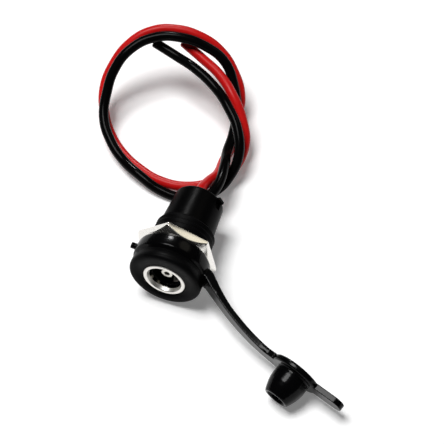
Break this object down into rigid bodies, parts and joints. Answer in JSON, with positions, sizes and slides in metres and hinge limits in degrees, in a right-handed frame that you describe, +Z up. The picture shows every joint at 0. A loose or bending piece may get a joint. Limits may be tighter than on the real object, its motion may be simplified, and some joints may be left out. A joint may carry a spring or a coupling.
{
  "type": "panel-mount DC charging socket",
  "caption": "Black panel-mount barrel socket with a nickel mouth bush and hex nut, a tethered rubber dust cap and a red and a black pigtail lead.",
  "frame": {"origin": "Centre of the mouth, in the plane of the front of its metal bush", "axes": "The socket's axis is Y: a plug goes in towards +Y and the leads come out at +Y. +X is to the right seen from the front of the mouth. +Z is up from the table the socket lies on."},
  "size_m": [0.0686, 0.0712, 0.0158],
  "materials": {
    "body_black": "Moulded black plastic with a fine matt grain on the flange",
    "nickel": "Bright nickel plating over brass",
    "contact_metal": "Tin-plated brass strip and pin",
    "carrier_black": "Moulded black plastic, plain",
    "boot_black": "Moulded satin black plastic",
    "cap_rubber": "Moulded soft black rubber with a dull sheen",
    "red_pvc": "Extruded glossy red insulation",
    "black_pvc": "Extruded glossy black insulation",
    "tinned_copper": "Stranded copper, tinned and twisted",
    "solder": "Set solder, dull grey"
  },
  "bodies": {
    "socket": {"socket_body": "body_black", "mouth_bush": "nickel", "centre_pin": "contact_metal", "pin_carrier": "carrier_black", "pin_tag": "contact_metal", "spring_contact": "contact_metal", "red_conductor": "tinned_copper", "black_conductor": "tinned_copper", "red_solder": "solder", "black_solder": "solder", "red_lead": "red_pvc", "black_lead": "black_pvc", "rear_boot": "boot_black"},
    "nut": {"hex_nut": "nickel"},
    "cap": {"dust_cap": "cap_rubber"}
  },
  "joints": [
    {"name": "nut_travel", "type": "slide", "parent": "socket", "child": "nut", "axis": [0, 1, 0], "range_m": [0, 0.0042]},
    {"name": "cap_swivel", "type": "hinge", "parent": "socket", "child": "cap", "pos_m": [0, 0.004, 0], "axis": [0, 1, 0], "continuous": true}
  ]
}
